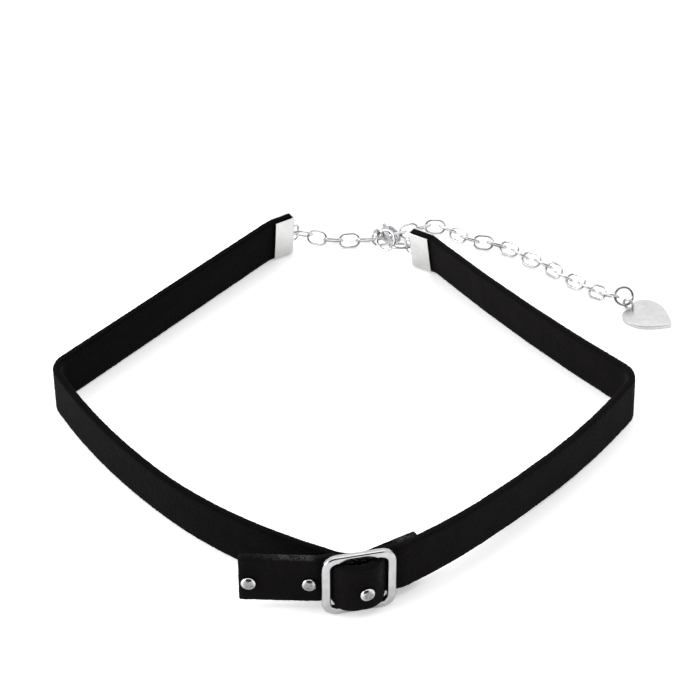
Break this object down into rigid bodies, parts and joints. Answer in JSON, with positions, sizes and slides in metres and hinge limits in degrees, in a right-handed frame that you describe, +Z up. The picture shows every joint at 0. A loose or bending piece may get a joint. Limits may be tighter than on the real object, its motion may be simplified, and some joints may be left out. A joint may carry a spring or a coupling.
{
  "type": "strap choker necklace",
  "caption": "Black faux-suede strap choker with a square front buckle, riveted tab, rear extender chain, lobster clasp and heart drop, lying as an open loop.",
  "frame": {"origin": "centre of the whole box in plan, at the table the necklace rests on", "axes": "+X to the wearer's side seen on the right, +Y from the buckle to the chain, +Z up from the table, along the strap's width"},
  "size_m": [0.121, 0.1186, 0.0133],
  "materials": {
    "band_left": "matte faux suede",
    "band_right": "matte faux suede",
    "buckle_frame": "polished silver-coloured plating",
    "rivet_1": "polished silver-coloured plating",
    "rivet_2": "polished silver-coloured plating",
    "rivet_3": "polished silver-coloured plating",
    "crimp_left": "bright silver-coloured plating",
    "crimp_right": "bright silver-coloured plating",
    "link_01": "bright silver-coloured plating",
    "link_02": "bright silver-coloured plating",
    "link_03": "bright silver-coloured plating",
    "link_04": "bright silver-coloured plating",
    "link_05": "bright silver-coloured plating",
    "link_06": "bright silver-coloured plating",
    "link_07": "bright silver-coloured plating",
    "link_08": "bright silver-coloured plating",
    "link_09": "bright silver-coloured plating",
    "link_10": "bright silver-coloured plating",
    "link_11": "bright silver-coloured plating",
    "link_12": "bright silver-coloured plating",
    "link_13": "bright silver-coloured plating",
    "link_14": "bright silver-coloured plating",
    "link_15": "bright silver-coloured plating",
    "link_16": "bright silver-coloured plating",
    "link_17": "bright silver-coloured plating",
    "link_18": "bright silver-coloured plating",
    "link_19": "bright silver-coloured plating",
    "link_20": "bright silver-coloured plating",
    "link_21": "bright silver-coloured plating",
    "link_22": "bright silver-coloured plating",
    "link_23": "bright silver-coloured plating",
    "link_24": "bright silver-coloured plating",
    "link_25": "bright silver-coloured plating",
    "clasp_ring_a": "bright silver-coloured plating",
    "clasp_ring_b": "bright silver-coloured plating",
    "clasp_body": "bright silver-coloured plating",
    "clasp_lever": "bright silver-coloured plating",
    "clasp_pin": "bright silver-coloured plating",
    "heart_ring": "satin silver-coloured plating",
    "heart_tag": "satin silver-coloured plating"
  },
  "bodies": {
    "necklace": {"band_left": "band_left", "band_right": "band_right", "buckle_frame": "buckle_frame", "rivet_1": "rivet_1", "rivet_2": "rivet_2", "rivet_3": "rivet_3", "crimp_left": "crimp_left", "crimp_right": "crimp_right", "link_01": "link_01", "link_02": "link_02", "link_03": "link_03", "link_04": "link_04", "link_05": "link_05", "link_06": "link_06", "link_07": "link_07", "link_08": "link_08", "link_09": "link_09", "link_10": "link_10", "link_11": "link_11", "link_12": "link_12", "link_13": "link_13", "link_14": "link_14", "link_15": "link_15", "link_16": "link_16", "link_17": "link_17", "link_18": "link_18", "link_19": "link_19", "link_20": "link_20", "link_21": "link_21", "link_22": "link_22", "link_23": "link_23", "link_24": "link_24", "link_25": "link_25", "clasp_ring_a": "clasp_ring_a", "clasp_ring_b": "clasp_ring_b", "clasp_body": "clasp_body", "clasp_pin": "clasp_pin", "heart_ring": "heart_ring", "heart_tag": "heart_tag"},
    "lever": {"clasp_lever": "clasp_lever"}
  },
  "joints": [
    {"name": "clasp_lever_hinge", "type": "hinge", "parent": "necklace", "child": "lever", "pos_m": [0.00267, 0.0517, 0.00464], "axis": [0.7423, -0.0623, 0.6672], "range_deg": [-18, 0], "stiffness_Nm_per_rad": 0.0002}
  ]
}
